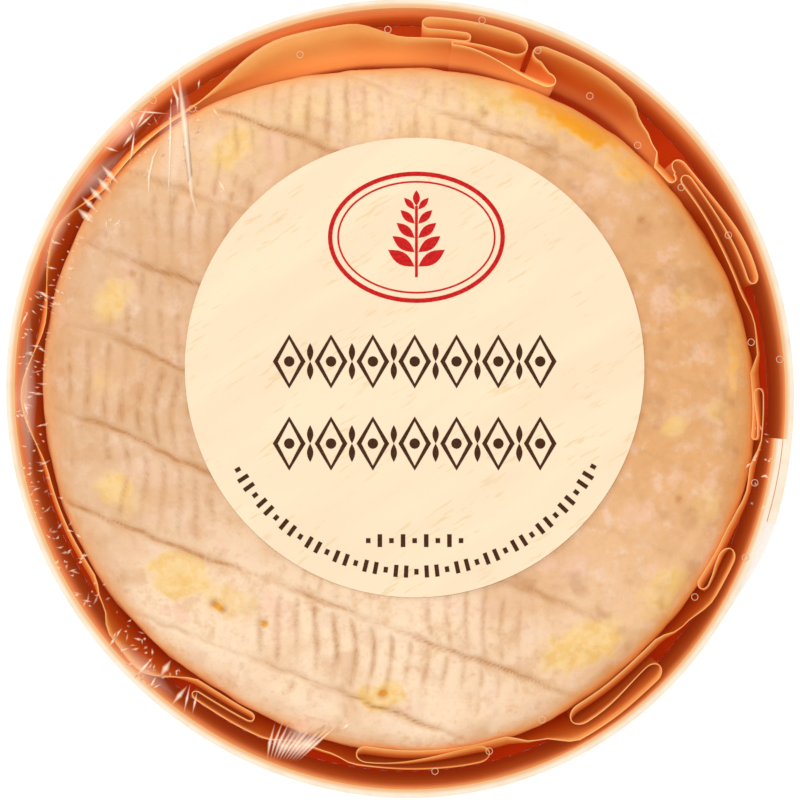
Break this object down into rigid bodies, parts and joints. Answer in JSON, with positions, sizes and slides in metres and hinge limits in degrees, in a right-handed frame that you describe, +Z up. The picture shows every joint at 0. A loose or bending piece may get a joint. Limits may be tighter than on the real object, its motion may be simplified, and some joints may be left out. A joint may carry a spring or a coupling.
{
  "type": "soft cheese in a round wood box",
  "caption": "Soft round rind-ripened cheese in a lapped thin wood box with a pleated paper case, under clear film with a round label.",
  "frame": {"origin": "middle of the pack's underside, on the surface it stands on", "axes": "+Z up through the film and the label, +X towards the lap of the hoop, +Y towards the edge that the label's print faces away from"},
  "size_m": [0.1108, 0.1124, 0.0284],
  "materials": {
    "poplar": "unfinished peeled veneer",
    "rind": "soft matte cheese rind",
    "greaseproof": "thin waxy paper",
    "clear_film": "clear gloss film",
    "label_paper": "printed matte paper"
  },
  "bodies": {
    "root": {"box_base": "poplar", "box_wall": "poplar", "paper_case": "greaseproof", "cheese": "rind", "film": "clear_film", "label": "label_paper"}
  },
  "joints": []
}
